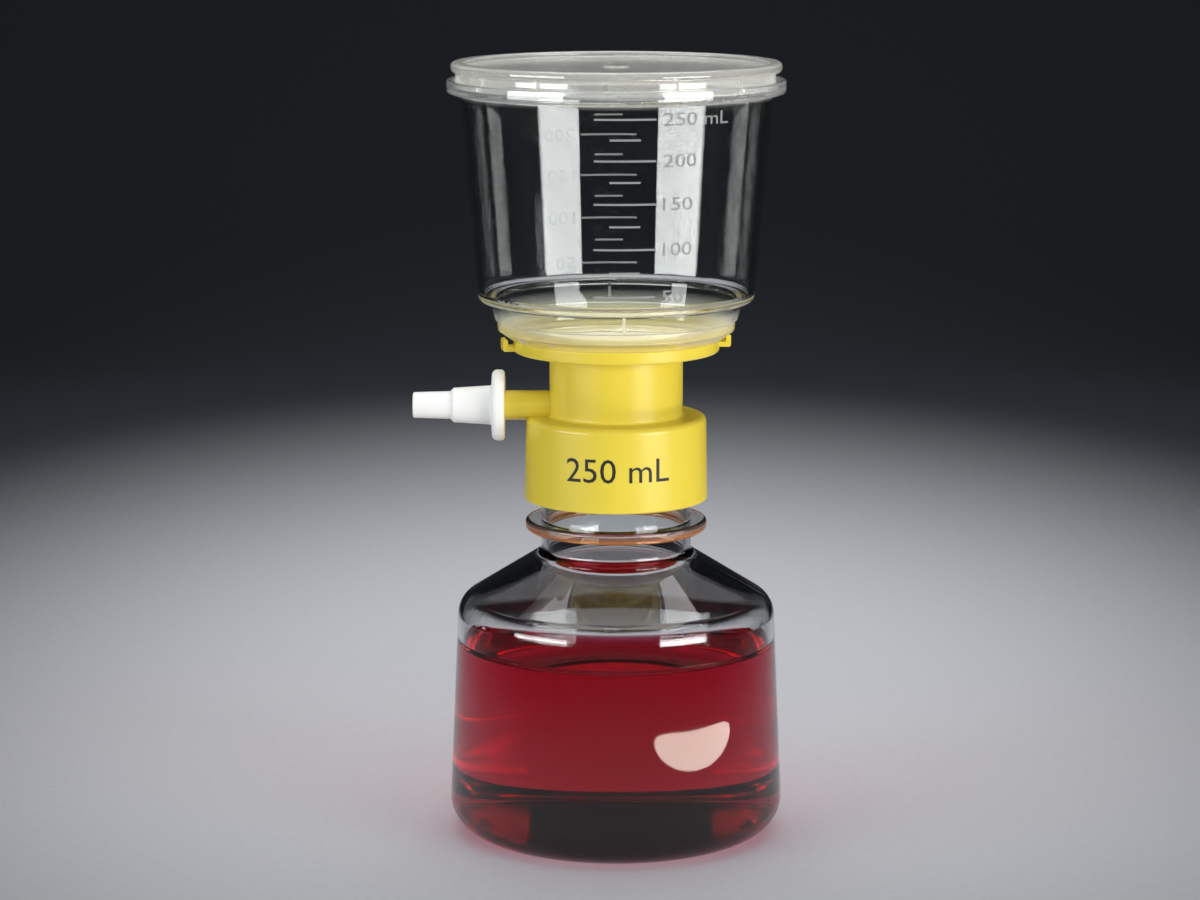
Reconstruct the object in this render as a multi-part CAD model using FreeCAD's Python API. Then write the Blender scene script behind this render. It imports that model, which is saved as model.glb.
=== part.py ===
import FreeCAD, Part
import math
import os

# Vacuum filtration unit, 250 mL size. A graduated clear funnel with a loose lid is bonded to a moulded
# adapter that holds the membrane, and the adapter screws onto a clear receiver bottle.
# Millimetres, +Z up, origin on the bench at the centre of the bottle's foot.
# -X is the side that the vacuum side arm points to, and -Y is the front.

Vec = FreeCAD.Vector

# ---------------------------------------------------------------- receiver bottle
bottle_wall = 1.8                # all over, except where the shoulder thickens
body_foot_radius = 45.1          # side wall carried down to the bench
body_shoulder_radius = 42.3      # side wall carried up to the shoulder corner
shoulder_z = 62.6                # height of that corner
shoulder_slope = 32.0            # degrees above level
heel_fillet = 9.0
shoulder_fillet = 6.5
shoulder_thickening = 2.5        # added to the wall where the shoulder runs into the neck
foot_inset = 14.0                # from the side wall to the inside edge of the standing ring
push_up = 1.4                    # hollow under the base
push_up_run = 4.0                # width of the slope up to it
foot_fillet = 1.0
neck_radius = 20.0
neck_length = 32.5               # from the shoulder's top to the lip
neck_root_fillet = 1.6
lip_fillet = 0.5
ring_reach = 4.2                 # transfer ring, out from the neck
ring_height = 3.0
ring_drop = 24.0                 # from the lip down to the ring's top
ring_fillet = 1.0

# ---------------------------------------------------------------- filtrate
liquid_z = 51.0                  # level of the filtrate
liquid_gap = 0.05                # modelling gap to the bottle's wall

# ---------------------------------------------------------------- screw thread, shared
thread_pitch = 4.0
thread_height = 1.7
thread_base_width = 2.4
thread_crest_width = 1.0
thread_root_bury = 0.4           # how far a ridge is rooted in its wall
thread_clearance = 0.6           # crest to the facing wall
thread_drop = 13.0               # from the lip down to the lower end of the bottle's thread
male_thread_turns = 1.75
female_thread_turns = 1.5
thread_hold_turns = 1.0          # turns of the two threads that bear on each other

# ---------------------------------------------------------------- sealing gasket
gasket_height = 1.6
gasket_overhang = 1.4            # inside the bottle's bore
gasket_side_gap = 0.6            # to the collar's bore

# ---------------------------------------------------------------- adapter
collar_wall = 1.65
collar_draft = 0.4               # how much wider the collar is at its foot
collar_depth = 20.2              # inside, from the web down to the foot
collar_web = 2.2                 # plate between collar and stem
collar_edge_fillet = 1.6
stem_radius = 17.7
stem_wall = 1.8
stem_length = 17.3               # from the collar to the support plate
stem_root_fillet = 0.8
plate_reach = 9.6                # support plate, out from the stem
plate_thickness = 3.3
plate_core = 2.6                 # solid plate under the membrane
plate_root_fillet = 1.2
drip_tube_wall = 1.6
drip_bore_radius = 3.6
drip_tube_drop = 6.1             # below the web
drain_groove_width = 1.5
drain_groove_depth = 0.9
drain_ring_pitch = 5.0
drain_rings = 3
drain_spokes = 8
drain_edge = 0.7                 # from the spokes' outer ends to the window's edge
lug_reach = 3.3                  # two upturned lugs, out from the plate's edge
lug_rise = 0.5                   # from the plate's underside to the lug's
lug_height = 3.2
lug_leg = 1.3
lug_lip = 1.3
lug_angle = 9.0                  # degrees that one lug covers
lug_centre_angle = 9.0           # degrees from +X to the middle of the first lug

# ---------------------------------------------------------------- vacuum side arm
arm_rise = 2.5                   # from the collar's top to the arm's centre line
arm_radius = 3.93
arm_straight = 11.3              # from the stem to the start of the taper
arm_taper_length = 12.0
arm_taper_drop = 0.32            # how much thinner the arm is at its tip
arm_wall = 1.7

# ---------------------------------------------------------------- air plug in the side arm
plug_length = 8.0
plug_inset = 2.5                 # from the arm's tip to the plug
plug_gap = 0.05

# ---------------------------------------------------------------- hose adapter
hose_fit_gap = 0.05              # to the side arm's taper
hose_seat = 0.6                  # from the start of the taper to the thumb flange
hose_thumb_thickness = 3.4
hose_thumb_reach = 4.2           # out from the barrel
hose_barrel_radius = 5.25
hose_barrel_draft = 0.65
hose_end_wall = 2.2              # from the arm's tip to the end of the barrel
hose_step = 0.8                  # length of the cone between barrel and nozzle
hose_nozzle_radius = 3.7
hose_nozzle_draft = 0.28
hose_nozzle_length = 10.0
hose_bore_radius = 1.9

# ---------------------------------------------------------------- membrane
membrane_radius = 25.0
membrane_thickness = 0.2
membrane_gap = 0.15              # to the edge of its recess
membrane_clamp = 1.5             # width held under the funnel's foot

# ---------------------------------------------------------------- funnel
funnel_wall = 1.6
foot_overhang = 0.6              # bonded foot, past the edge of the support plate
foot_rise = 2.5                  # from the plate to the outside of the lower band
foot_floor = 1.9                 # thickness of the foot
lower_band_step = 3.5            # out from the foot
lower_band_height = 2.7
middle_band_step = 0.7           # out from the lower band
upper_band_step = 1.2            # out from the middle band
upper_band_height = 5.0
wall_step = 3.05                 # out from the upper band to the tapered wall
wall_flare = 4.6                 # how much wider the wall is under the shelf
wall_height = 54.6
shelf_thickness = 1.6            # shelf that the lid stands on
shelf_reach = 3.5                # out from the wall
rim_wall = 1.65
rim_height = 1.9                 # above the shelf
gate_webs = 2                    # small webs under the step to the tapered wall, where the gates were
gate_web_width = 0.8
gate_web_reach = 1.0             # out from the upper band
gate_web_lift = 0.6              # from the middle band to the foot of a web
gate_web_angle = 93.0            # degrees from +X to the first web

# ---------------------------------------------------------------- lid
lid_side_gap = 1.6               # from the skirt to the funnel's rim
lid_rib_gap = 0.4                # from a rib to the funnel's rim
lid_skirt_wall = 1.2
lid_skirt_height = 3.8
lid_plate = 1.3
lid_bead_reach = 2.2             # bead, out from the skirt
lid_bead_height = 2.7
lid_bead_width = 3.2
lid_bead_fillet = 1.2
lid_ribs = 14
lid_rib_width = 1.0
lid_rib_lift = 0.5               # from the shelf to the foot of a rib
lid_rib_first_angle = 22.0
lid_gate_radius = 3.4            # low round pad in the middle, where the mould's gate was
lid_gate_height = 0.4


def corner_arc(before, corner, after, radius):
    """Start, middle and end of the arc that rounds one corner of an outline in (x, z)."""
    to_before = (before - corner).normalize()
    to_after = (after - corner).normalize()
    half_turn = to_before.getAngle(to_after) / 2
    reach = radius / math.tan(half_turn)
    bisector = (to_before + to_after).normalize()
    centre = corner + bisector * (radius / math.sin(half_turn))
    return corner + to_before * reach, centre - bisector * radius, corner + to_after * reach


def outline(corners):
    """A closed wire in the XZ plane from (x, z) or (x, z, fillet radius) corners."""
    points = [Vec(c[0], 0, c[1]) for c in corners]
    fillets = [c[2] if len(c) > 2 else 0 for c in corners]
    edges = []
    first = last = None
    for i, corner in enumerate(points):
        start = middle = end = corner
        if fillets[i]:
            start, middle, end = corner_arc(points[i - 1], corner, points[(i + 1) % len(points)], fillets[i])
        if last is not None and (start - last).Length > 1e-6:
            edges.append(Part.LineSegment(last, start).toShape())
        if fillets[i]:
            edges.append(Part.Arc(start, middle, end).toShape())
        first = first or start
        last = end
    edges.append(Part.LineSegment(last, first).toShape())
    return Part.Wire(edges)


def turned(corners, degrees=360.0):
    """The outline turned about the Z axis into a solid."""
    return Part.Face(outline(corners)).revolve(Vec(0, 0, 0), Vec(0, 0, 1), degrees)


def turned_about_arm(corners):
    """Corners are (distance out along the side arm, radius), turned about the arm's centre line."""
    face = Part.Face(outline([(-c[0], arm_z + c[1], *c[2:]) for c in corners]))
    return face.revolve(Vec(0, 0, arm_z), Vec(1, 0, 0), 360)


def inset(corners, distance):
    """An open run of (x, z, fillet) corners moved sideways by distance, to the left of its direction."""
    points = [Vec(c[0], 0, c[1]) for c in corners]
    fillets = [c[2] if len(c) > 2 else 0 for c in corners]
    sides = []
    for a, b in zip(points, points[1:]):
        along = (b - a).normalize()
        sides.append((a + Vec(-along.z, 0, along.x) * distance, along))
    moved = [(sides[0][0].x, sides[0][0].z)]
    for i, ((p, u), (q, v)) in enumerate(zip(sides, sides[1:]), start=1):
        turn = u.x * v.z - u.z * v.x
        reach = ((q.x - p.x) * v.z - (q.z - p.z) * v.x) / turn
        meet = p + u * reach
        fillet = fillets[i] - distance if turn > 0 else fillets[i] + distance
        moved.append((meet.x, meet.z, max(fillet, 0)))
    last_side = sides[-1][1]
    end = points[-1] + Vec(-last_side.z, 0, last_side.x) * distance
    moved.append((end.x, end.z))
    return moved


def thread_ridge(root_radius, crest_radius, low_z, start_angle, turns):
    """One helical ridge, right-handed, whose centre line starts at low_z."""
    outward = 1 if crest_radius > root_radius else -1
    buried = root_radius - outward * thread_root_bury
    flank = (thread_base_width - thread_crest_width) / 2 / thread_height
    buried_half = thread_base_width / 2 + thread_root_bury * flank
    crest_half = thread_crest_width / 2
    section = Part.makePolygon([
        Vec(buried, 0, -buried_half),
        Vec(crest_radius, 0, -crest_half),
        Vec(crest_radius, 0, crest_half),
        Vec(buried, 0, buried_half),
        Vec(buried, 0, -buried_half),
    ])
    path = Part.Wire(Part.makeHelix(thread_pitch, turns * thread_pitch, buried))
    ridge = path.makePipeShell([section], True, True)
    ridge.rotate(Vec(0, 0, 0), Vec(0, 0, 1), start_angle)
    ridge.translate(Vec(0, 0, low_z))
    return ridge


# ---------------------------------------------------------------- heights and radii that follow
foot_inner_radius = body_foot_radius - foot_inset
push_up_radius = foot_inner_radius - push_up_run
neck_root_z = shoulder_z + (body_shoulder_radius - neck_radius) * math.tan(math.radians(shoulder_slope))
lip_z = neck_root_z + neck_length
ring_top_z = lip_z - ring_drop
neck_bore_radius = neck_radius - bottle_wall

web_bottom_z = lip_z + gasket_height
collar_bottom_z = web_bottom_z - collar_depth
collar_top_z = web_bottom_z + collar_web
collar_bore_radius = neck_radius + thread_height + thread_clearance
collar_top_radius = collar_bore_radius + collar_wall
stem_bore_radius = stem_radius - stem_wall
plate_bottom_z = collar_top_z + stem_length
plate_top_z = plate_bottom_z + plate_thickness
plate_radius = stem_radius + plate_reach
recess_z = plate_top_z - membrane_thickness
hollow_top_z = recess_z - plate_core
window_radius = membrane_radius - membrane_clamp

arm_z = collar_top_z + arm_rise
arm_taper_x = stem_radius + arm_straight
arm_tip_x = arm_taper_x + arm_taper_length
arm_tip_radius = arm_radius - arm_taper_drop
arm_bore_radius = arm_tip_radius - arm_wall

foot_radius = plate_radius + foot_overhang
lower_band_radius = foot_radius + lower_band_step
middle_band_radius = lower_band_radius + middle_band_step
upper_band_radius = middle_band_radius + upper_band_step
wall_bottom_radius = upper_band_radius + wall_step
wall_top_radius = wall_bottom_radius + wall_flare
rim_radius = wall_top_radius + shelf_reach
rim_bore_radius = rim_radius - rim_wall
lower_band_z = plate_top_z + foot_rise
middle_band_z = lower_band_z + lower_band_height
wall_bottom_z = middle_band_z + upper_band_height
shelf_bottom_z = wall_bottom_z + wall_height
shelf_z = shelf_bottom_z + shelf_thickness
rim_top_z = shelf_z + rim_height

# The bottle's outside, from the middle of the base up to the lip.
bottle_skin = [
    (0, push_up),
    (push_up_radius, push_up, foot_fillet),
    (foot_inner_radius, 0, foot_fillet),
    (body_foot_radius, 0, heel_fillet),
    (body_shoulder_radius, shoulder_z, shoulder_fillet),
    (neck_radius, neck_root_z, neck_root_fillet),
    (neck_radius, lip_z),
]


def make_bottle():
    blank = turned(bottle_skin[:-1] + [(neck_radius, lip_z, lip_fillet), (0, lip_z)])
    ring_root = neck_radius - bottle_wall / 2
    ring = turned([
        (ring_root, ring_top_z - ring_height),
        (neck_radius + ring_reach, ring_top_z - ring_height, ring_fillet),
        (neck_radius + ring_reach, ring_top_z, ring_fillet),
        (ring_root, ring_top_z),
    ])
    crest = neck_radius + thread_height
    thread = thread_ridge(neck_radius, crest, lip_z - thread_drop, 0, male_thread_turns)
    cavity = inset(bottle_skin, bottle_wall)
    bore_x, root_z, root_fillet = cavity[-2]
    thick_root_z = root_z - shoulder_thickening / math.cos(math.radians(shoulder_slope))
    cavity[-2] = (bore_x, thick_root_z, root_fillet)
    above_lip = lip_z + bottle_wall
    hollow = turned(cavity[:-1] + [(neck_bore_radius, above_lip), (0, above_lip)])
    return blank.fuse([ring, thread]).cut(hollow)


def make_filtrate():
    bed = inset(bottle_skin, bottle_wall + liquid_gap)
    fill = turned(bed + [(0, lip_z)])
    below_level = Part.makeCylinder(body_foot_radius, liquid_z)
    return fill.common(below_level)


def make_gasket():
    inner = neck_bore_radius - gasket_overhang
    outer = collar_bore_radius - gasket_side_gap
    return turned([(inner, lip_z), (outer, lip_z), (outer, web_bottom_z), (inner, web_bottom_z)])


def make_drain_grooves():
    """Rings and spokes that lead what passes the membrane to the drip tube."""
    floor = Vec(0, 0, recess_z - drain_groove_depth)
    cutters = []
    for i in range(drain_rings):
        middle = drip_bore_radius + drain_ring_pitch * (i + 1)
        outer = Part.makeCylinder(middle + drain_groove_width / 2, drain_groove_depth, floor)
        inner = Part.makeCylinder(middle - drain_groove_width / 2, drain_groove_depth, floor)
        cutters.append(outer.cut(inner))
    for i in range(drain_spokes):
        corner = floor - Vec(0, drain_groove_width / 2, 0)
        spoke = Part.makeBox(window_radius - drain_edge, drain_groove_width, drain_groove_depth, corner)
        spoke.rotate(Vec(0, 0, 0), Vec(0, 0, 1), 360 / drain_spokes * (i + 0.5))
        cutters.append(spoke)
    return cutters


def make_lug(middle_angle):
    root = plate_radius - lug_leg
    tip = plate_radius + lug_reach
    bottom = plate_bottom_z + lug_rise
    lug = turned([
        (root, bottom),
        (tip, bottom, 0.6),
        (tip, bottom + lug_height, 0.4),
        (tip - lug_lip, bottom + lug_height, 0.4),
        (tip - lug_lip, bottom + lug_leg, 0.3),
        (root, bottom + lug_leg),
    ], lug_angle)
    lug.rotate(Vec(0, 0, 0), Vec(0, 0, 1), middle_angle - lug_angle / 2)
    return lug


def make_adapter():
    drip_radius = drip_bore_radius + drip_tube_wall
    drip_bottom_z = web_bottom_z - drip_tube_drop
    body = turned([
        (drip_bore_radius, drip_bottom_z),
        (drip_radius, drip_bottom_z, 0.3),
        (drip_radius, hollow_top_z, 0.8),
        (stem_bore_radius, hollow_top_z, 0.8),
        (stem_bore_radius, web_bottom_z, 0.5),
        (collar_bore_radius, web_bottom_z, 0.4),
        (collar_bore_radius, collar_bottom_z, 0.5),
        (collar_top_radius + collar_draft, collar_bottom_z, 0.5),
        (collar_top_radius, collar_top_z, collar_edge_fillet),
        (stem_radius, collar_top_z, stem_root_fillet),
        (stem_radius, plate_bottom_z, plate_root_fillet),
        (plate_radius, plate_bottom_z, 0.6),
        (plate_radius, plate_top_z, 0.3),
        (membrane_radius + membrane_gap, plate_top_z),
        (membrane_radius + membrane_gap, recess_z),
        (drip_bore_radius, recess_z, 0.4),
    ])
    stem_middle = (stem_radius + stem_bore_radius) / 2
    arm = turned_about_arm([
        (stem_middle, 0),
        (stem_middle, arm_radius),
        (arm_taper_x, arm_radius),
        (arm_tip_x, arm_tip_radius, 0.3),
        (arm_tip_x, 0),
    ])
    bore = turned_about_arm([
        (stem_bore_radius - stem_wall, 0),
        (stem_bore_radius - stem_wall, arm_bore_radius),
        (arm_tip_x + arm_wall, arm_bore_radius),
        (arm_tip_x + arm_wall, 0),
    ])
    # Half a pitch under the bottle's ridge, one holding length down from that ridge's upper end.
    first_turn = male_thread_turns - thread_hold_turns
    thread = thread_ridge(
        collar_bore_radius,
        collar_bore_radius - thread_height,
        lip_z - thread_drop + (first_turn - 0.5) * thread_pitch,
        360 * first_turn,
        female_thread_turns,
    )
    lugs = [make_lug(lug_centre_angle), make_lug(lug_centre_angle + 180)]
    return body.fuse([arm, thread] + lugs).cut([bore] + make_drain_grooves())


def make_air_plug():
    outer_end = arm_tip_x - plug_inset
    inner_end = outer_end - plug_length
    radius = arm_bore_radius - plug_gap
    return turned_about_arm([
        (inner_end, 0),
        (inner_end, radius, 0.4),
        (outer_end, radius, 0.4),
        (outer_end, 0),
    ])


def make_hose_adapter():
    mouth_x = arm_taper_x + hose_seat
    thumb_x = mouth_x + hose_thumb_thickness
    barrel_x = arm_tip_x + hose_end_wall
    nozzle_x = barrel_x + hose_step + hose_nozzle_length
    mouth_radius = arm_radius - arm_taper_drop * hose_seat / arm_taper_length + hose_fit_gap
    thumb_radius = hose_barrel_radius + hose_thumb_reach
    return turned_about_arm([
        (mouth_x, mouth_radius, 0.2),
        (mouth_x, thumb_radius, 1.1),
        (thumb_x, thumb_radius, 1.5),
        (thumb_x, hose_barrel_radius, 0.6),
        (barrel_x, hose_barrel_radius - hose_barrel_draft, 0.4),
        (barrel_x + hose_step, hose_nozzle_radius, 0.3),
        (nozzle_x, hose_nozzle_radius - hose_nozzle_draft, 0.5),
        (nozzle_x, hose_bore_radius, 0.3),
        (arm_tip_x, hose_bore_radius),
        (arm_tip_x, arm_tip_radius + hose_fit_gap),
    ])


def make_membrane():
    return Part.makeCylinder(membrane_radius, membrane_thickness, Vec(0, 0, recess_z))


def make_gate_webs():
    root = middle_band_radius - funnel_wall / 2
    bottom = middle_band_z + gate_web_lift
    reach = upper_band_radius + gate_web_reach - root
    height = wall_bottom_z + funnel_wall / 2 - bottom
    webs = []
    for i in range(gate_webs):
        web = Part.makeBox(reach, gate_web_width, height, Vec(root, -gate_web_width / 2, bottom))
        web.rotate(Vec(0, 0, 0), Vec(0, 0, 1), gate_web_angle + 360 / gate_webs * i)
        webs.append(web)
    return webs


def make_funnel():
    lean = wall_flare / wall_height
    sump_z = wall_bottom_z + funnel_wall
    wall_foot = wall_bottom_radius + lean * funnel_wall - funnel_wall
    wall_head = wall_top_radius + lean * shelf_thickness - funnel_wall
    cup = turned([
        (window_radius, plate_top_z),
        (foot_radius, plate_top_z),
        (lower_band_radius, lower_band_z, 0.6),
        (lower_band_radius, middle_band_z, 0.25),
        (middle_band_radius, middle_band_z, 0.25),
        (upper_band_radius, wall_bottom_z, 0.8),
        (wall_bottom_radius, wall_bottom_z, 1.3),
        (wall_top_radius, shelf_bottom_z, 0.8),
        (rim_radius, shelf_bottom_z, 0.9),
        (rim_radius, rim_top_z, 0.5),
        (rim_bore_radius, rim_top_z, 0.5),
        (rim_bore_radius, shelf_z, 0.4),
        (wall_head, shelf_z, 0.6),
        (wall_foot, sump_z, 1.2),
        (upper_band_radius - funnel_wall, sump_z, 0.9),
        (lower_band_radius - funnel_wall, plate_top_z + foot_floor, 1.2),
        (window_radius, plate_top_z + foot_floor, 0.5),
    ])
    return cup.fuse(make_gate_webs())


def make_lid():
    skirt_radius = rim_bore_radius - lid_side_gap
    skirt_bore = skirt_radius - lid_skirt_wall
    bead_radius = skirt_radius + lid_bead_reach
    bead_bore = bead_radius - lid_bead_width
    under_z = shelf_z + lid_skirt_height
    top_z = under_z + lid_plate
    lid = turned([
        (0, under_z),
        (skirt_bore, under_z, 0.6),
        (skirt_bore, shelf_z, 0.3),
        (skirt_radius, shelf_z, 0.3),
        (skirt_radius, under_z, 0.4),
        (bead_radius, under_z, lid_bead_fillet),
        (bead_radius, under_z + lid_bead_height, lid_bead_fillet),
        (bead_bore, under_z + lid_bead_height, 0.6),
        (bead_bore, top_z, 0.6),
        (lid_gate_radius, top_z, 0.15),
        (lid_gate_radius, top_z + lid_gate_height, 0.15),
        (0, top_z + lid_gate_height),
    ])
    rib_root = skirt_radius - lid_skirt_wall / 2
    rib_length = rim_bore_radius - lid_rib_gap - rib_root
    rib_bottom_z = shelf_z + lid_rib_lift
    ribs = []
    for i in range(lid_ribs):
        corner = Vec(rib_root, -lid_rib_width / 2, rib_bottom_z)
        rib = Part.makeBox(rib_length, lid_rib_width, under_z + lid_plate / 2 - rib_bottom_z, corner)
        rib.rotate(Vec(0, 0, 0), Vec(0, 0, 1), lid_rib_first_angle - 90 + 360 / lid_ribs * i)
        ribs.append(rib)
    return lid.fuse(ribs)


nodes = {
    "receiver_bottle": make_bottle(),
    "filtrate": make_filtrate(),
    "bottle_gasket": make_gasket(),
    "filter_adapter": make_adapter(),
    "membrane": make_membrane(),
    "side_arm_plug": make_air_plug(),
    "hose_adapter": make_hose_adapter(),
    "funnel": make_funnel(),
    "funnel_lid": make_lid(),
}

os.makedirs("parts", exist_ok=True)
for name, shape in nodes.items():
    shape.exportStep(f"parts/{name}.step")
    print(f"{name}: {len(shape.Solids)} solid, {shape.Volume / 1000:.2f} mL, valid {shape.isValid()}")
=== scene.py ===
import math
import bmesh
import bpy
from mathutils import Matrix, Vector


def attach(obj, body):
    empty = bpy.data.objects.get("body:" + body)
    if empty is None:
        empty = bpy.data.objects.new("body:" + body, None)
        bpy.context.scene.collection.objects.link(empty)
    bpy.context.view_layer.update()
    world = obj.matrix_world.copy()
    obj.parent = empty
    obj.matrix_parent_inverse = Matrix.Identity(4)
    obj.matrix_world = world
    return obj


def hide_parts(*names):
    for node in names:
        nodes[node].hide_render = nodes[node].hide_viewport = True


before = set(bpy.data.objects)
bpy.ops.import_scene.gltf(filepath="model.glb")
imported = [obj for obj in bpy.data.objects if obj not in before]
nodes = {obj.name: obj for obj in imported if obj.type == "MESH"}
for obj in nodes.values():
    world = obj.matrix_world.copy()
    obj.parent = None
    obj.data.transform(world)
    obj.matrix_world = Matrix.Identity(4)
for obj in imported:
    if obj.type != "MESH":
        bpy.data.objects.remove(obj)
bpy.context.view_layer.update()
print("frame loaded:", len(nodes), "nodes")

mm = 0.001
styreneIor = 1.59
filtrateIor = 1.34
liquidLevel = 51.0  # height of the filtrate's level, mm


def linear(hexColour):
    # sRGB hex to the linear values that the shaders take
    parts = [int(hexColour[i:i + 2], 16) / 255 for i in (1, 3, 5)]
    return tuple(c / 12.92 if c <= 0.04045 else ((c + 0.055) / 1.055) ** 2.4 for c in parts) + (1.0,)


def newMaterial(name):
    material = bpy.data.materials.new(name)
    material.use_nodes = True
    material.node_tree.nodes.clear()
    return material


def socketOf(node, key):
    # by name, with _ for a space, or by number as i0, i1 and so on
    return node.inputs[int(key[1:]) if key[1:].isdigit() else key.replace("_", " ")]


def addNode(material, kind, settings=None, **links):
    # settings are values of sockets, or properties of the node; links are socket=(node, output)
    node = material.node_tree.nodes.new(kind)
    for key, value in (settings or {}).items():
        if hasattr(node, key):
            setattr(node, key, value)
        else:
            socketOf(node, key).default_value = value
    for key, (source, output) in links.items():
        material.node_tree.links.new(source.outputs[output], socketOf(node, key))
    return node


def relink(material, source, output, shader, socket):
    # lets a node decide a value that varies over the surface
    material.node_tree.links.new(source.outputs[output], shader.inputs[socket])


def dress(piece, material):
    piece.data.materials.clear()
    piece.data.materials.append(material)


def addPiece(name, mesh):
    # turns finished mesh work into an object of the scene
    data = bpy.data.meshes.new(name)
    mesh.to_mesh(data)
    mesh.free()
    piece = bpy.data.objects.new(name, data)
    bpy.context.scene.collection.objects.link(piece)
    return piece


def clearStyrene(name, look):
    # crystal polystyrene, injection moulded against a polished mould: hard bright reflections,
    # edges that gather light, the faintest waviness where the melt flowed
    material = newMaterial(name)
    place = addNode(material, "ShaderNodeTexCoord")
    flow = addNode(material, "ShaderNodeTexNoise", {"Scale": 1 / (look["flowMm"] * mm), "Detail": 2.0},
                   Vector=(place, "Object"))
    scuffs = addNode(material, "ShaderNodeTexNoise", {"Scale": 1 / (look["scuffMm"] * mm), "Detail": 4.0},
                     Vector=(place, "Object"))
    haze = addNode(material, "ShaderNodeMapRange",
                   {"From Min": 0.45, "From Max": 0.8, "To Min": look["roughness"],
                    "To Max": look["roughness"] + look["haze"]}, Value=(scuffs, "Fac"))
    waves = addNode(material, "ShaderNodeBump", {"Strength": look["wave"], "Distance": look["waveMm"] * mm},
                    Height=(flow, "Fac"))
    plastic = addNode(material, "ShaderNodeBsdfPrincipled",
                      {"Base Color": linear(look["colour"]), "Transmission Weight": look["clear"],
                       "IOR": styreneIor},
                      Roughness=(haze, "Result"), Normal=(waves, "Normal"))
    path = addNode(material, "ShaderNodeLightPath")
    through = addNode(material, "ShaderNodeBsdfTransparent", {"Color": linear(look["shadow"])})
    mix = addNode(material, "ShaderNodeMixShader", None, i0=(path, "Is Shadow Ray"), i1=(plastic, "BSDF"),
                  i2=(through, "BSDF"))
    addNode(material, "ShaderNodeOutputMaterial", None, Surface=(mix, "Shader"))
    return material, plastic


def facingOut(material):
    # the surface's own outward direction in the piece's coordinates, from whichever side it is seen
    place = addNode(material, "ShaderNodeTexCoord")
    shape = addNode(material, "ShaderNodeNewGeometry")
    side = addNode(material, "ShaderNodeMapRange", {"To Min": 1.0, "To Max": -1.0},
                   Value=(shape, "Backfacing"))
    outwards = addNode(material, "ShaderNodeVectorMath", {"operation": "SCALE"}, i0=(place, "Normal"),
                       Scale=(side, "Result"))
    return place, outwards


def radiusAndHeight(material, place):
    # how far out and how high a point is, in the piece's own coordinates
    parts = addNode(material, "ShaderNodeSeparateXYZ", None, Vector=(place, "Object"))
    flatPlace = addNode(material, "ShaderNodeCombineXYZ", None, X=(parts, "X"), Y=(parts, "Y"))
    return addNode(material, "ShaderNodeVectorMath", {"operation": "LENGTH"}, i0=(flatPlace, "Vector")), parts


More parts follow.
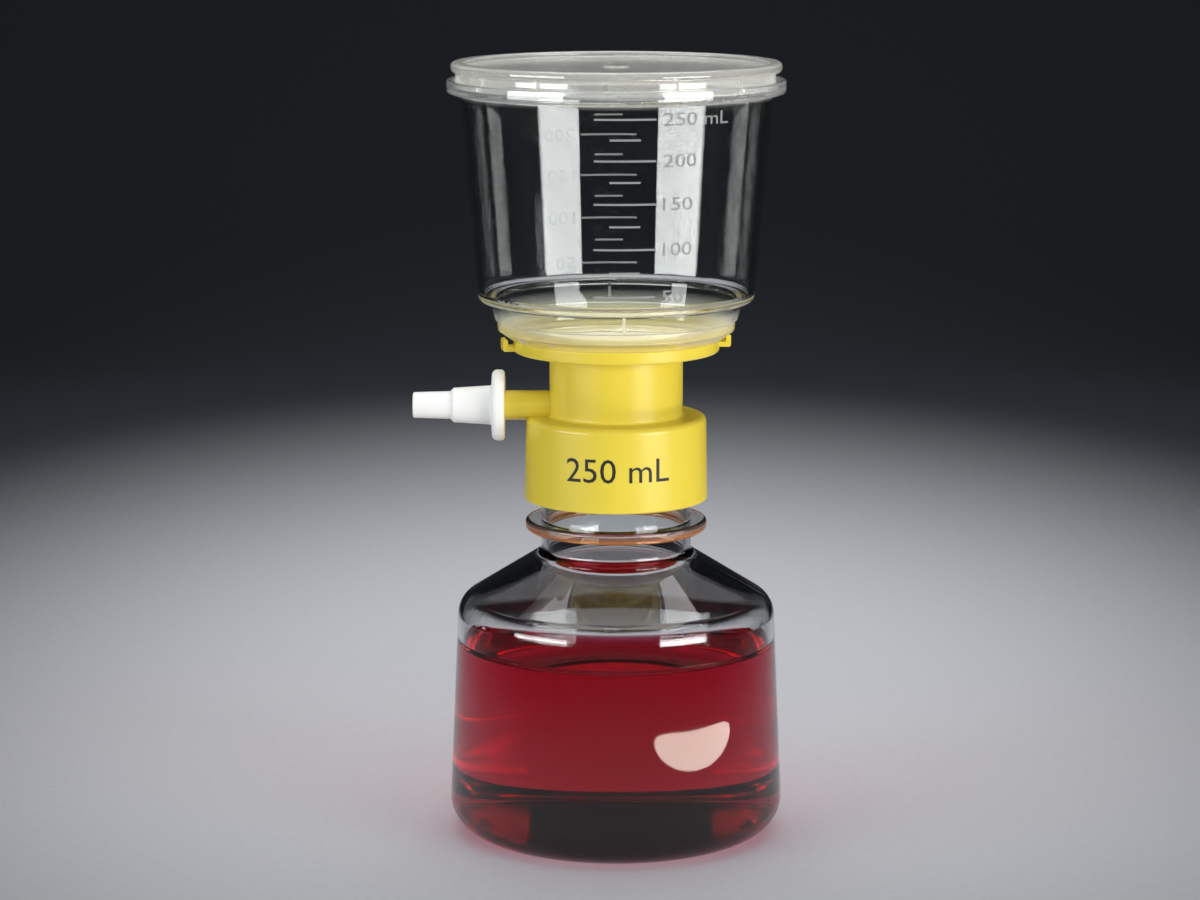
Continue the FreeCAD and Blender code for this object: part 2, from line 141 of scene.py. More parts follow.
def bondedFoot(material, plastic, look):
    # where the foot is bonded down, no air lies between, so the plate's yellow and the filter show through
    place, outwards = facingOut(material)
    radius, parts = radiusAndHeight(material, place)
    facing = addNode(material, "ShaderNodeSeparateXYZ", None, Vector=(outwards, "Vector"))
    down = addNode(material, "ShaderNodeMath", {"operation": "LESS_THAN", "i1": look["facingDown"]},
                   i0=(facing, "Z"))
    low = addNode(material, "ShaderNodeMath", {"operation": "LESS_THAN", "i1": look["bondBelow"] * mm},
                  i0=(parts, "Z"))
    within = addNode(material, "ShaderNodeMath", {"operation": "LESS_THAN", "i1": look["bondRadius"] * mm},
                     i0=(radius, "Value"))
    under = addNode(material, "ShaderNodeMath", {"operation": "MULTIPLY"}, i0=(down, "Value"),
                    i1=(low, "Value"))
    bonded = addNode(material, "ShaderNodeMath", {"operation": "MULTIPLY"}, i0=(under, "Value"),
                     i1=(within, "Value"))
    onFilter = addNode(material, "ShaderNodeMath",
                       {"operation": "LESS_THAN", "i1": look["filterRadius"] * mm}, i0=(radius, "Value"))
    beneath = addNode(material, "ShaderNodeMix",
                      {"data_type": "RGBA", "i6": linear(look["plate"]), "i7": linear(look["filter"])},
                      Factor=(onFilter, "Value"))

    # painted glow: the thick bands round the foot and the rim are made cloudy for the light they gather, the
    # foot on its outside only, where it is painted cream that turns yellower towards its bottom for the
    # plate's light bounced up into it
    flatPlace = addNode(material, "ShaderNodeVectorMath", {"operation": "MULTIPLY", "i1": (1, 1, 0)},
                        i0=(place, "Object"))
    outer = addNode(material, "ShaderNodeVectorMath", {"operation": "DOT_PRODUCT"}, i0=(flatPlace, "Vector"),
                    i1=(outwards, "Vector"))
    outside = addNode(material, "ShaderNodeMath", {"operation": "GREATER_THAN", "i1": 0.0},
                      i0=(outer, "Value"))
    foot = addNode(material, "ShaderNodeMapRange",
                   {"From Min": look["footTo"] * mm, "From Max": look["footFrom"] * mm}, Value=(parts, "Z"))
    inFoot = addNode(material, "ShaderNodeMath", {"operation": "MULTIPLY"}, i0=(foot, "Result"),
                     i1=(outside, "Value"))
    inRim = addNode(material, "ShaderNodeMapRange",
                    {"From Min": look["rimFrom"] * mm, "From Max": look["rimTo"] * mm}, Value=(parts, "Z"))
    plateGlowFade = addNode(material, "ShaderNodeMapRange",
                      {"From Min": look["lowFrom"] * mm, "From Max": look["lowTo"] * mm}, Value=(parts, "Z"))
    footGlowTint = addNode(material, "ShaderNodeMix",
                       {"data_type": "RGBA", "i6": linear(look["footGlowColour"]), "i7": linear(look["footPlateGlow"])},
                       Factor=(plateGlowFade, "Result"))
    paintedGlowColour = addNode(material, "ShaderNodeMix", {"data_type": "RGBA", "i6": linear(look["colour"])},
                   Factor=(inFoot, "Value"), i7=(footGlowTint, 2))
    shown = addNode(material, "ShaderNodeMix", {"data_type": "RGBA"}, Factor=(bonded, "Value"),
                    i6=(paintedGlowColour, 2), i7=(beneath, 2))
    relink(material, shown, 2, plastic, "Base Color")
    footGlowShare = addNode(material, "ShaderNodeMapRange", {"To Max": look["footGlowShare"]}, Value=(inFoot, "Value"))
    rimGlowShare = addNode(material, "ShaderNodeMapRange", {"To Max": look["rimGlowShare"]}, Value=(inRim, "Result"))
    bands = addNode(material, "ShaderNodeMath", {"operation": "MAXIMUM"}, i0=(footGlowShare, "Result"),
                    i1=(rimGlowShare, "Result"))
    glowAndBondShare = addNode(material, "ShaderNodeMath", {"operation": "MAXIMUM"}, i0=(bands, "Value"),
                   i1=(bonded, "Value"))
    clear = addNode(material, "ShaderNodeMapRange", {"To Min": look["clear"], "To Max": 0.0},
                    Value=(glowAndBondShare, "Value"))
    relink(material, clear, "Result", plastic, "Transmission Weight")


# heights and radii in mm, as in the other pieces' looks
funnelLook = {"colour": "#f8faf9", "shadow": "#e9ebeb", "roughness": 0.015, "haze": 0.03, "wave": 0.15,
              "waveMm": 0.02, "flowMm": 22, "scuffMm": 3, "clear": 1.0,
              "facingDown": -0.7, "bondBelow": 133.6, "bondRadius": 27.2, "filterRadius": 25.0,
              "plate": "#e3d145", "filter": "#ece5c4",
              # the foot's painted glow, cream turning yellow low down, and the rim's painted cloudiness
              "footFrom": 137.0, "footTo": 142.2, "footGlowColour": "#f7f1d0", "footGlowShare": 0.54,
              "lowFrom": 138.5, "lowTo": 134.5, "footPlateGlow": "#f0da72",
              "rimFrom": 196.6, "rimTo": 198.2, "rimGlowShare": 0.09}
funnelMaterial, funnelPlastic = clearStyrene("funnelStyrene", funnelLook)
bondedFoot(funnelMaterial, funnelPlastic, funnelLook)
dress(nodes["funnel"], funnelMaterial)


def frostTop(material, plastic, look):
    # the lid's flat top comes from a grained part of the mould, its rim and skirt from polished steel
    place = addNode(material, "ShaderNodeTexCoord")
    radius, parts = radiusAndHeight(material, place)
    inside = addNode(material, "ShaderNodeMapRange",
                     {"From Min": (look["frostTo"] + look["frostBlend"]) * mm,
                      "From Max": look["frostTo"] * mm}, Value=(radius, "Value"))
    above = addNode(material, "ShaderNodeMath", {"operation": "GREATER_THAN", "i1": look["frostFrom"] * mm},
                    i0=(parts, "Z"))
    frosted = addNode(material, "ShaderNodeMath", {"operation": "MULTIPLY"}, i0=(inside, "Result"),
                      i1=(above, "Value"))
    clearRoughness = plastic.inputs["Roughness"].links[0].from_node
    rough = addNode(material, "ShaderNodeMapRange", {"To Min": 0.0, "To Max": look["frost"]},
                    Value=(frosted, "Value"))
    both = addNode(material, "ShaderNodeMath", {"operation": "MAXIMUM"}, i0=(rough, "Result"),
                   i1=(clearRoughness, "Result"))
    relink(material, both, "Value", plastic, "Roughness")


lidLook = {"colour": "#f4f4f0", "shadow": "#dfe0de", "roughness": 0.04, "haze": 0.05, "wave": 0.15,
           "waveMm": 0.02, "flowMm": 26, "scuffMm": 4, "clear": 0.82,
           "frost": 0.17, "frostTo": 42.6, "frostBlend": 0.3, "frostFrom": 203.9}
lidMaterial, lidPlastic = clearStyrene("lidStyrene", lidLook)
frostTop(lidMaterial, lidPlastic, lidLook)
dress(nodes["funnel_lid"], lidMaterial)


def wetInside(material, plastic, look):
    # below the liquid's level the inner wall meets water and not air, so it hardly reflects
    place, outwards = facingOut(material)
    middle = addNode(material, "ShaderNodeVectorMath",
                     {"operation": "SUBTRACT", "i1": (0, 0, look["middle"] * mm)}, i0=(place, "Object"))
    facing = addNode(material, "ShaderNodeVectorMath", {"operation": "DOT_PRODUCT"}, i0=(middle, "Vector"),
                     i1=(outwards, "Vector"))
    inner = addNode(material, "ShaderNodeMath", {"operation": "LESS_THAN", "i1": 0.0}, i0=(facing, "Value"))
    parts = addNode(material, "ShaderNodeSeparateXYZ", None, Vector=(place, "Object"))
    below = addNode(material, "ShaderNodeMath", {"operation": "LESS_THAN", "i1": look["wetTo"] * mm},
                    i0=(parts, "Z"))
    wet = addNode(material, "ShaderNodeMath", {"operation": "MULTIPLY"}, i0=(inner, "Value"),
                  i1=(below, "Value"))
    bend = addNode(material, "ShaderNodeMapRange",
                   {"To Min": styreneIor, "To Max": styreneIor / filtrateIor}, Value=(wet, "Value"))
    relink(material, bend, "Result", plastic, "IOR")


def ringGlow(material, plastic, look):
    # the neck's ring is solid plastic; the red of the filtrate below, which gathers in it, is painted on as
    # an orange glow towards its outer and lower edge
    place = addNode(material, "ShaderNodeTexCoord")
    radius, parts = radiusAndHeight(material, place)
    out = addNode(material, "ShaderNodeMapRange",
                  {"From Min": look["glowFrom"] * mm, "From Max": look["glowTo"] * mm},
                  Value=(radius, "Value"))
    above = addNode(material, "ShaderNodeMath", {"operation": "GREATER_THAN", "i1": look["ringFrom"] * mm},
                    i0=(parts, "Z"))
    lowest = addNode(material, "ShaderNodeMapRange",
                     {"From Min": look["ringTo"] * mm, "From Max": look["ringFull"] * mm}, Value=(parts, "Z"))
    level = addNode(material, "ShaderNodeMath", {"operation": "MULTIPLY"}, i0=(above, "Value"),
                    i1=(lowest, "Result"))
    ring = addNode(material, "ShaderNodeMath", {"operation": "MULTIPLY"}, i0=(out, "Result"),
                   i1=(level, "Value"))
    shown = addNode(material, "ShaderNodeMix",
                    {"data_type": "RGBA", "i6": linear(look["colour"]), "i7": linear(look["ringPaintedOrange"])},
                    Factor=(ring, "Value"))
    relink(material, shown, 2, plastic, "Base Color")
    clear = addNode(material, "ShaderNodeMapRange", {"To Min": look["clear"], "To Max": look["ringPaintedClear"]},
                    Value=(ring, "Value"))
    relink(material, clear, "Result", plastic, "Transmission Weight")


bottleLook = {"colour": "#f6f9f9", "shadow": "#e9ecec", "roughness": 0.015, "haze": 0.03, "wave": 0.2,
              "waveMm": 0.02, "flowMm": 24, "scuffMm": 3, "clear": 1.0,
              "middle": 30, "wetTo": liquidLevel + 2.0,  # a face turned towards the middle is an inner one
              # the ring's painted orange glow
              "glowFrom": 22.6, "glowTo": 24.0, "ringFrom": 81.9, "ringFull": 83.1, "ringTo": 85.1,
              "ringPaintedOrange": "#f39a5c", "ringPaintedClear": 0.72}
bottleMaterial, bottlePlastic = clearStyrene("bottleStyrene", bottleLook)
wetInside(bottleMaterial, bottlePlastic, bottleLook)
ringGlow(bottleMaterial, bottlePlastic, bottleLook)
dress(nodes["receiver_bottle"], bottleMaterial)
print("clear pieces dressed")

adapterLook = {"colour": "#e2d04e", "deep": "#dbc43e", "roughness": 0.28, "pigmentMm": 14, "grainMm": 0.8,
               "grain": 0.12, "grainDeepMm": 0.02, "glow": 0.12, "glowMm": 1.2}


def mouldedYellow(look):
    # yellow ABS, injection moulded: satin skin, soft light just under the surface, pigment a little
    # uneven; the mould's spark grain, drawn coarse enough to show
    material = newMaterial("adapterAbs")
    place = addNode(material, "ShaderNodeTexCoord")
    pigment = addNode(material, "ShaderNodeTexNoise", {"Scale": 1 / (look["pigmentMm"] * mm), "Detail": 3.0},
                      Vector=(place, "Object"))
    colour = addNode(material, "ShaderNodeMix",
                     {"data_type": "RGBA", "i6": linear(look["deep"]), "i7": linear(look["colour"])},
                     Factor=(pigment, "Fac"))
    grain = addNode(material, "ShaderNodeTexNoise", {"Scale": 1 / (look["grainMm"] * mm), "Detail": 3.0},
                    Vector=(place, "Object"))
    skin = addNode(material, "ShaderNodeBump",
                   {"Strength": look["grain"], "Distance": look["grainDeepMm"] * mm}, Height=(grain, "Fac"))
    plastic = addNode(material, "ShaderNodeBsdfPrincipled",
                      {"Roughness": look["roughness"], "IOR": 1.53, "Subsurface Weight": look["glow"],
                       "Subsurface Radius": (1.0, 0.7, 0.15), "Subsurface Scale": look["glowMm"] * mm},
                      Base_Color=(colour, 2), Normal=(skin, "Normal"))
    addNode(material, "ShaderNodeOutputMaterial", None, Surface=(plastic, "BSDF"))
    return material


dress(nodes["filter_adapter"], mouldedYellow(adapterLook))

mattSkin = {"ior": 1.49, "glow": 0.1, "glowMm": 1.0, "grainDeepMm": 0.05}  # what the pale matt pieces share


def plainMatt(name, look, skinLook):
    # a pale matt material of one colour, a little light under its skin
    material = newMaterial(name)
    place = addNode(material, "ShaderNodeTexCoord")
    grain = addNode(material, "ShaderNodeTexNoise", {"Scale": 1 / (look["grainMm"] * mm), "Detail": 4.0},
                    Vector=(place, "Object"))
    skin = addNode(material, "ShaderNodeBump",
                   {"Strength": look["grain"], "Distance": skinLook["grainDeepMm"] * mm},
                   Height=(grain, "Fac"))
    matt = addNode(material, "ShaderNodeBsdfPrincipled",
                   {"Base Color": linear(look["colour"]), "Roughness": look["roughness"],
                    "IOR": skinLook["ior"], "Subsurface Weight": skinLook["glow"],
                    "Subsurface Radius": (1.0, 0.9, 0.8), "Subsurface Scale": skinLook["glowMm"] * mm},
                   Normal=(skin, "Normal"))
    addNode(material, "ShaderNodeOutputMaterial", None, Surface=(matt, "BSDF"))
    return material


# natural polypropylene, injection moulded: waxy white with a soft wide shine
hoseLook = {"colour": "#f0f1f0", "roughness": 0.45, "grainMm": 0.5, "grain": 0.15}
dress(nodes["hose_adapter"], plainMatt("hosePolypropylene", hoseLook, mattSkin))

# nylon membrane, cast and cut from a sheet: papery and without shine, its pores drawn coarse enough to show
membraneLook = {"colour": "#ece5c4", "roughness": 0.8, "grainMm": 0.25, "grain": 0.3}
dress(nodes["membrane"], plainMatt("membraneNylon", membraneLook, mattSkin))

# cotton, pressed into a plug: fluffy and quite dull
plugLook = {"colour": "#efeee8", "roughness": 0.95, "grainMm": 0.3, "grain": 0.8}
dress(nodes["side_arm_plug"], plainMatt("plugCotton", plugLook, mattSkin))

# silicone rubber, moulded: smooth, with a dull gleam
gasketLook = {"colour": "#d9d9d4", "roughness": 0.5, "grainMm": 0.4, "grain": 0.1}
dress(nodes["bottle_gasket"], plainMatt("gasketSilicone", gasketLook, mattSkin))
print("moulded pieces dressed")

# the bottle's outside wall and inside floor, which the filtrate follows
bottleShape = {"wall": 1.8, "footRadius": 45.1, "topRadius": 42.3, "topZ": 62.6, "heel": 9.0,
               "pushUp": 1.4, "pushUpTo": 25.5, "rampZ": 0.35, "rampTo": 29.2, "standFrom": 32.5}

# the filtrate wets the wall, so its skin lies just inside the plastic, and its level curls up at the wall
filtrateShape = {"level": liquidLevel, "intoWall": 0.35, "meniscus": 2.0, "curl": 3.0, "curlPower": 2.2,
                 "lip": 0.02, "heelOut": 0.05, "heelSteps": 12, "wallSteps": 8, "curlSteps": 8,
                 "around": 192, "sharp": 50}


def wallRadius(z, bottle):
    return bottle["footRadius"] + (bottle["topRadius"] - bottle["footRadius"]) * z / bottle["topZ"]


def filtrateProfile(shape, bottle):
    # radius and height, from the middle of the floor up the wall and back along the level
    grow = shape["intoWall"] - bottle["wall"]
    level, rise = shape["level"], shape["meniscus"]
    points = [(0.0, bottle["pushUp"] - grow), (bottle["pushUpTo"], bottle["pushUp"] - grow),
              (bottle["rampTo"], bottle["rampZ"] - grow), (bottle["standFrom"], -grow)]
    heel = bottle["heel"] + grow
    heelX = wallRadius(heel, bottle) + grow - heel + shape["heelOut"]
    for i in range(shape["heelSteps"] + 1):
        a = math.radians(-90 + 90 * i / shape["heelSteps"])
        points.append((heelX + heel * math.cos(a), -grow + heel + heel * math.sin(a)))
    for i in range(1, shape["wallSteps"] + 1):
        z = bottle["heel"] + (level - bottle["heel"]) * i / shape["wallSteps"]
        points.append((wallRadius(z, bottle) + grow, z))
    edge = points[-1][0] - shape["intoWall"] - shape["lip"]
    points.append((wallRadius(level + rise, bottle) + grow, level + rise))
    for i in range(1, shape["curlSteps"] + 1):
        t = i / shape["curlSteps"]
        points.append((edge - shape["curl"] * t * t, level + rise * (1 - t) ** shape["curlPower"]))
    points.append((0.0, level))
    return points


def turnProfile(points, around):
    # a closed turned form; a point on the axis becomes one vertex
    mesh = bmesh.new()
    rings = []
    for r, z in points:
        if r < 1e-6:
            rings.append([mesh.verts.new((0, 0, z * mm))])
            continue
        angles = [2 * math.pi * k / around for k in range(around)]
        rings.append([mesh.verts.new((r * mm * math.cos(a), r * mm * math.sin(a), z * mm)) for a in angles])
    for low, high in zip(rings, rings[1:]):
        for k in range(around):
            n = (k + 1) % around
            if len(low) == 1:
                mesh.faces.new((low[0], high[n], high[k]))
            elif len(high) == 1:
                mesh.faces.new((low[k], low[n], high[0]))
            else:
                mesh.faces.new((low[k], low[n], high[n], high[k]))
    bmesh.ops.recalc_face_normals(mesh, faces=mesh.faces)
    return mesh


filtrateBody = addPiece("filtrateBody",
                        turnProfile(filtrateProfile(filtrateShape, bottleShape), filtrateShape["around"]))
filtrateBody.data.shade_smooth()
filtrateBody.data.set_sharp_from_angle(angle=math.radians(filtrateShape["sharp"]))
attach(filtrateBody, "receiver")
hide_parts("filtrate")

filtrateLook = {"clearFilm": "#f0388e", "density": 68.0, "freeFacing": 0.12}


def redFiltrate(look):
    # watery red filtrate: clear, and darker the longer the way through it; against the wall it
    # neither bends nor reflects, because the wall's own material does both there
    material = newMaterial("redFiltrate")
    place, outwards = facingOut(material)
    parts = addNode(material, "ShaderNodeSeparateXYZ", None, Vector=(outwards, "Vector"))
    free = addNode(material, "ShaderNodeMath", {"operation": "GREATER_THAN", "i1": look["freeFacing"]},
                   i0=(parts, "Z"))
    bend = addNode(material, "ShaderNodeMapRange", {"To Min": 1.0, "To Max": filtrateIor},
                   Value=(free, "Value"))
    liquid = addNode(material, "ShaderNodeBsdfPrincipled",
                     {"Base Color": (1, 1, 1, 1), "Transmission Weight": 1.0, "IOR": filtrateIor,
                      "Roughness": 0.0},
                     IOR=(bend, "Result"))
    path = addNode(material, "ShaderNodeLightPath")
    through = addNode(material, "ShaderNodeBsdfTransparent", {"Color": (1, 1, 1, 1)})
    mix = addNode(material, "ShaderNodeMixShader", None, i0=(path, "Is Shadow Ray"), i1=(liquid, "BSDF"),
                  i2=(through, "BSDF"))
    depth = addNode(material, "ShaderNodeVolumeAbsorption",
                    {"Color": linear(look["clearFilm"]), "Density": look["density"]})
    addNode(material, "ShaderNodeOutputMaterial", None, Surface=(mix, "Shader"), Volume=(depth, "Volume"))
    return material


dress(filtrateBody, redFiltrate(filtrateLook))
print("filtrate made")

# capacity scale, screen printed in pale ink on the funnel's front and again on its back; turn is in
# degrees round the axis
scaleLook = {"steps": 5, "stepMl": 50, "ink": "#8f9192", "longLine": 15.8, "shortLine": 7.9, "line": 0.5,
             "number": 3.3, "numberFrom": 9.8, "stretch": 1.34, "turn": 2.9, "sink": 0.03, "proud": 0.02,
             "bendEvery": 0.8, "patchMm": 0.6, "thinnest": 0.88}

# the funnel's outside wall, for the ink, and its inside cone, for the heights of the marks
funnelWall = {"radius": 36.35, "z": 143.635, "slope": 4.6 / 54.6}
funnelCone = {"radius": 35.2, "z": 145.2, "slope": 0.0842, "mlBelow": 34.9}


def levelOf(millilitres, cone):
    # height of the liquid in a cone that widens upwards
    k, r = cone["slope"], cone["radius"]
    volume = 1000 * (millilitres - cone["mlBelow"])
    return cone["z"] + ((3 * k * volume / math.pi + r ** 3) ** (1 / 3) - r) / k


def wordSlab(words, look):
    # a plain sans word as thick flat mesh, its left end at 0 and its middle line at 0
    curve = bpy.data.curves.new("words", "FONT")
    curve.body = words
    curve.size = 1.0
    curve.resolution_u = 3
    curve.extrude = 1
    writing = bpy.data.objects.new("words", curve)
    bpy.context.scene.collection.objects.link(writing)
    bpy.context.view_layer.update()
    flat = bpy.data.meshes.new_from_object(writing.evaluated_get(bpy.context.evaluated_depsgraph_get()))
    bpy.data.objects.remove(writing)
    tall = max(v.co.y for v in flat.vertices)
    left = min(v.co.x for v in flat.vertices)
    for v in flat.vertices:
        v.co = ((v.co.x - left) * look["number"] / tall * look["stretch"],
                (v.co.y / tall - 0.5) * look["number"], v.co.z)
    return flat


def lineSlab(width, height):
    mesh = bmesh.new()
    bmesh.ops.create_cube(mesh, size=2.0)
    for v in mesh.verts:
        v.co = (v.co.x * width / 2, v.co.y * height / 2, v.co.z)
    flat = bpy.data.meshes.new("line")
    mesh.to_mesh(flat)
    mesh.free()
    return flat


def wrapInk(mesh, flat, across, up, look, wall, turn):
    # bends flat ink, drawn in mm, round the wall at a height, and adds it to the mesh
    part = bmesh.new()
    part.from_mesh(flat)
    right = max(v.co.x for v in part.verts)
    cut = min(v.co.x for v in part.verts) + look["bendEvery"]
    while cut < right:
        bmesh.ops.bisect_plane(part, geom=part.verts[:] + part.edges[:] + part.faces[:],
                               plane_co=(cut, 0, 0), plane_no=(1, 0, 0), dist=1e-5)
        cut += look["bendEvery"]
    part.to_mesh(flat)
    part.free()
    start = len(mesh.verts)
    mesh.from_mesh(flat)
    mesh.verts.ensure_lookup_table()
    for v in mesh.verts[start:]:
        x, z, depth = v.co.x + across, v.co.y + up, v.co.z
        skin = look["proud"] if depth > 0 else -look["sink"]
        radius = wall["radius"] + wall["slope"] * (z - wall["z"]) + skin
        a = math.radians(turn - 90) + x / radius
        v.co = (radius * mm * math.cos(a), radius * mm * math.sin(a), z * mm)
    bpy.data.meshes.remove(flat)


def printInk(name, look):
    # matt printing ink, a few hundredths of a millimetre thick, a little uneven in its cover
    material = newMaterial(name)
    place = addNode(material, "ShaderNodeTexCoord")
    cover = addNode(material, "ShaderNodeTexNoise", {"Scale": 1 / (look["patchMm"] * mm), "Detail": 3.0},
                    Vector=(place, "Object"))
    tone = addNode(material, "ShaderNodeMapRange",
                   {"From Min": 0.3, "From Max": 0.7, "To Min": look["thinnest"], "To Max": 1.0},
                   Value=(cover, "Fac"))
    shade = addNode(material, "ShaderNodeHueSaturation", {"Color": linear(look["ink"])},
                    Value=(tone, "Result"))
    ink = addNode(material, "ShaderNodeBsdfPrincipled", {"Roughness": 0.6}, Base_Color=(shade, "Color"))
    addNode(material, "ShaderNodeOutputMaterial", None, Surface=(ink, "BSDF"))
    return material


def capacityScale(look, wall, cone):
    mesh = bmesh.new()
    for turn in (look["turn"], look["turn"] + 180):
        for i in range(1, look["steps"] + 1):
            volume = i * look["stepMl"]
            z = levelOf(volume, cone)
            words = f"{volume} mL" if i == look["steps"] else str(volume)
            wrapInk(mesh, lineSlab(look["longLine"], look["line"]), 0, z, look, wall, turn)
            wrapInk(mesh, wordSlab(words, look), look["numberFrom"], z, look, wall, turn)
            if i > 1:
                between = levelOf(volume - look["stepMl"] / 2, cone)
                wrapInk(mesh, lineSlab(look["shortLine"], look["line"]), 0, between, look, wall, turn)
    return addPiece("capacityScale", mesh)


scaleInk = capacityScale(scaleLook, funnelWall, funnelCone)
dress(scaleInk, printInk("scaleInk", scaleLook))
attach(scaleInk, "upper")

# plain capacity mark on the collar, pad printed in black
collarLook = {"words": "250 mL", "ink": "#1d1c1a", "number": 6.2, "stretch": 1.05, "z": 101.8, "turn": 1.0,
              "sink": 0.02, "proud": 0.03, "bendEvery": 0.6, "patchMm": 0.6, "thinnest": 0.88}
collarWall = {"radius": 23.95, "z": 112.8, "slope": -0.4 / 22.4}


def collarMark(look, wall):
    mesh = bmesh.new()
    flat = wordSlab(look["words"], look)
    width = max(v.co.x for v in flat.vertices)
    wrapInk(mesh, flat, -width / 2, look["z"], look, wall, look["turn"])
    return addPiece("collarMark", mesh)


collarInk = collarMark(collarLook, collarWall)
dress(collarInk, printInk("collarInk", collarLook))
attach(collarInk, "upper")
print("print added")

# pale paper floor with a painted pool of light round the object, painted darker away from it, which bends up
# into a wall behind it; in metres
stageLook = {"floor": "#b9babf", "fleck": "#c3c4c9", "fleckMm": 2.5, "paintedShadeAway": "#303338",
             "poolY": 0.16, "poolSide": 1.6, "fadeFrom": 0.1, "fadeTo": 0.62,
             "far": "#1e2023", "farFrom": 0.5, "farTo": 0.92,
             "farFront": "#040405", "frontFrom": -0.1, "frontTo": -0.4,
             "width": 5.0, "front": -2.6, "back": 1.3, "bend": 0.5, "bendSteps": 16, "height": 2.0}


def sweepShape(look):
    mesh = bmesh.new()
    bendY = look["back"] - look["bend"]
    profile = [(look["front"], 0.0), (bendY, 0.0)]
    for i in range(1, look["bendSteps"] + 1):
        a = math.radians(90 * i / look["bendSteps"])
        profile.append((bendY + look["bend"] * math.sin(a), look["bend"] * (1 - math.cos(a))))
    profile.append((look["back"], look["height"]))
    half = look["width"] / 2
    rows = [(mesh.verts.new((-half, y, z)), mesh.verts.new((half, y, z))) for y, z in profile]
    for (a, b), (c, d) in zip(rows, rows[1:]):
        mesh.faces.new((a, b, d, c))
    return mesh


def paperSweep(look):
    # uncoated paper, rolled out: quite matt, with a faint fleck, and a painted pool of light that fades into
    # painted shade away from the object
    material = newMaterial("paperSweep")
    place = addNode(material, "ShaderNodeTexCoord")
    fleck = addNode(material, "ShaderNodeTexNoise", {"Scale": 1 / (look["fleckMm"] * mm), "Detail": 3.0},
                    Vector=(place, "Object"))
    tone = addNode(material, "ShaderNodeMix",
                   {"data_type": "RGBA", "i6": linear(look["floor"]), "i7": linear(look["fleck"])},
                   Factor=(fleck, "Fac"))
    pool = addNode(material, "ShaderNodeMapping",
                   {"Location": (0, -look["poolY"], 0), "Scale": (look["poolSide"], 1, 1)},
                   Vector=(place, "Object"))
    distance = addNode(material, "ShaderNodeVectorMath", {"operation": "LENGTH"}, i0=(pool, "Vector"))
    away = addNode(material, "ShaderNodeMapRange",
                   {"From Min": look["fadeFrom"], "From Max": look["fadeTo"],
                    "interpolation_type": "SMOOTHSTEP"}, Value=(distance, "Value"))
    paintedPoolTone = addNode(material, "ShaderNodeMix", {"data_type": "RGBA", "i7": linear(look["paintedShadeAway"])},
                   Factor=(away, "Result"), i6=(tone, 2))

    # painted shade: blacker still under and behind the softboxes, so that the end of their light hardly shows
    parts = addNode(material, "ShaderNodeSeparateXYZ", None, Vector=(place, "Object"))
    toFront = addNode(material, "ShaderNodeMapRange",
                      {"From Min": look["frontFrom"], "From Max": look["frontTo"],
                       "interpolation_type": "SMOOTHSTEP"}, Value=(parts, "Y"))
    farTone = addNode(material, "ShaderNodeMix",
                      {"data_type": "RGBA", "i6": linear(look["far"]), "i7": linear(look["farFront"])},
                      Factor=(toFront, "Result"))
    further = addNode(material, "ShaderNodeMapRange",
                      {"From Min": look["farFrom"], "From Max": look["farTo"],
                       "interpolation_type": "SMOOTHSTEP"}, Value=(distance, "Value"))
    dark = addNode(material, "ShaderNodeMix", {"data_type": "RGBA"}, Factor=(further, "Result"),
                   i6=(paintedPoolTone, 2), i7=(farTone, 2))
    paper = addNode(material, "ShaderNodeBsdfPrincipled", {"Roughness": 1.0, "Specular IOR Level": 0.0},
                    Base_Color=(dark, 2))
    addNode(material, "ShaderNodeOutputMaterial", None, Surface=(paper, "BSDF"))
    return material


sweep = addPiece("sweep", sweepShape(stageLook))
sweep.data.shade_smooth()
dress(sweep, paperSweep(stageLook))

# places and sizes in metres; a fill lights the surfaces without showing in the clear pieces, and the low
# card, which faces up, gives the bottle its half-moon
lampLooks = {
    "softboxLeft": {"at": (-0.771, -0.520, 0.225), "aim": (0, 0, 0.17), "size": (0.71, 0.23), "watts": 4.8},
    "softboxRight": {"at": (0.697, -0.616, 0.20), "aim": (0, 0, 0.17), "size": (0.59, 0.34), "watts": 5.9},
    "softboxTop": {"at": (0.0, 0.20, 1.2), "aim": (0, 0.05, 0.0), "size": (1.1, 1.0), "watts": 9.2},
    "frontFill": {"at": (0.25, -1.15, 0.42), "aim": (0, 0, 0.12), "size": (0.9, 0.5), "watts": 2.8,
                  "fill": True},
    "backFill": {"at": (0.0, 1.0, 0.9), "aim": (0, 0, 0.10), "size": (0.9, 0.6), "watts": 3.2, "fill": True},
    "lowCard": {"at": (0.143, -0.121, 0.003), "upTurned": 56, "size": (0.19, 0.065), "watts": 0.27,
                "shape": "ELLIPSE", "colour": "#fff3e4"},
}


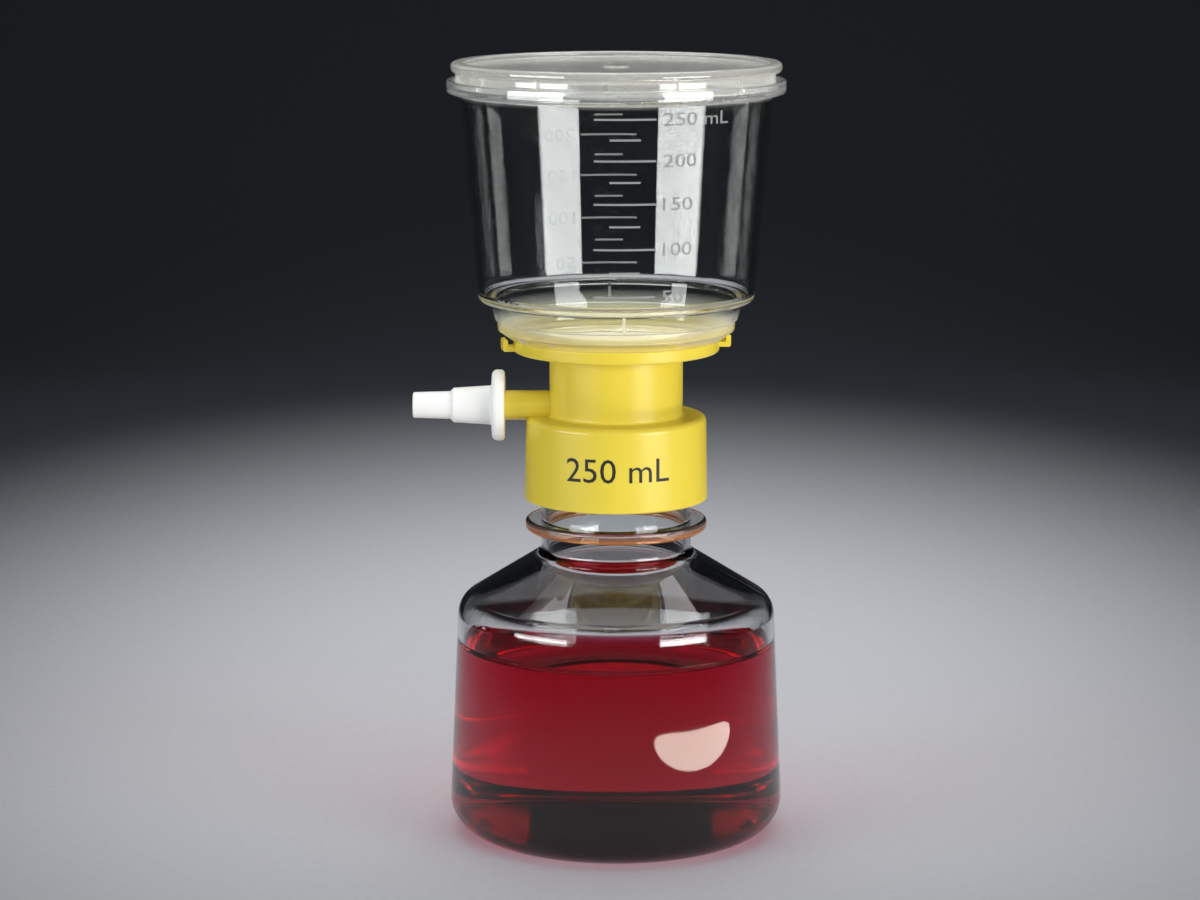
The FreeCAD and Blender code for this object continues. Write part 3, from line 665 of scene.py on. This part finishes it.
def areaLamp(name, look):
    data = bpy.data.lights.new(name, "AREA")
    data.shape = look.get("shape", "RECTANGLE")
    data.size, data.size_y = look["size"]
    data.energy = look["watts"]
    data.color = linear(look.get("colour", "#ffffff"))[:3]
    lamp = bpy.data.objects.new(name, data)
    lamp.location = look["at"]
    if "aim" in look:
        lamp.rotation_euler = (Vector(look["aim"]) - Vector(look["at"])).to_track_quat("-Z", "Y").to_euler()
    else:
        lamp.rotation_euler = (math.pi, 0, math.radians(look["upTurned"]))
    lamp.visible_camera = False
    if look.get("fill"):
        lamp.visible_glossy = False
        lamp.visible_transmission = False
    bpy.context.scene.collection.objects.link(lamp)


for lampName, lampLook in lampLooks.items():
    areaLamp(lampName, lampLook)

# a dim even room light, and the dark end of the studio for what the camera and the clear pieces see
roomLook = {"light": "#aeb2b8", "strength": 0.34, "seen": "#17181b"}


def studioRoom(look):
    world = bpy.data.worlds.new("studio")
    world.use_nodes = True
    world.node_tree.nodes.clear()
    light = addNode(world, "ShaderNodeBackground",
                    {"Color": linear(look["light"]), "Strength": look["strength"]})
    seen = addNode(world, "ShaderNodeBackground", {"Color": linear(look["seen"]), "Strength": 1.0})
    path = addNode(world, "ShaderNodeLightPath")
    mirrored = addNode(world, "ShaderNodeMath", {"operation": "MAXIMUM"}, i0=(path, "Is Camera Ray"),
                       i1=(path, "Is Glossy Ray"))
    looking = addNode(world, "ShaderNodeMath", {"operation": "MAXIMUM"}, i0=(mirrored, "Value"),
                      i1=(path, "Is Transmission Ray"))
    mix = addNode(world, "ShaderNodeMixShader", None, i0=(looking, "Value"), i1=(light, "Background"),
                  i2=(seen, "Background"))
    addNode(world, "ShaderNodeOutputWorld", None, Surface=(mix, "Shader"))
    bpy.context.scene.world = world


studioRoom(roomLook)

cameraLook = {"lens": 103.1, "sensor": 36.0, "place": (-0.0043, -0.901, 0.2669), "downDegrees": 10.3}


def addCamera(look):
    data = bpy.data.cameras.new("camera")
    data.lens = look["lens"]
    data.sensor_width = look["sensor"]
    camera = bpy.data.objects.new("camera", data)
    camera.location = look["place"]
    camera.rotation_euler = (math.radians(90 - look["downDegrees"]), 0, 0)
    bpy.context.scene.collection.objects.link(camera)
    return camera


bpy.context.scene.camera = addCamera(cameraLook)
bpy.context.scene.view_settings.view_transform = "Standard"

# enough bounces for light to cross every clear wall there and back
bpy.context.scene.cycles.transmission_bounces = 20
bpy.context.scene.cycles.max_bounces = 24
bpy.context.scene.cycles.transparent_max_bounces = 24
print("stage, lamps and camera set")
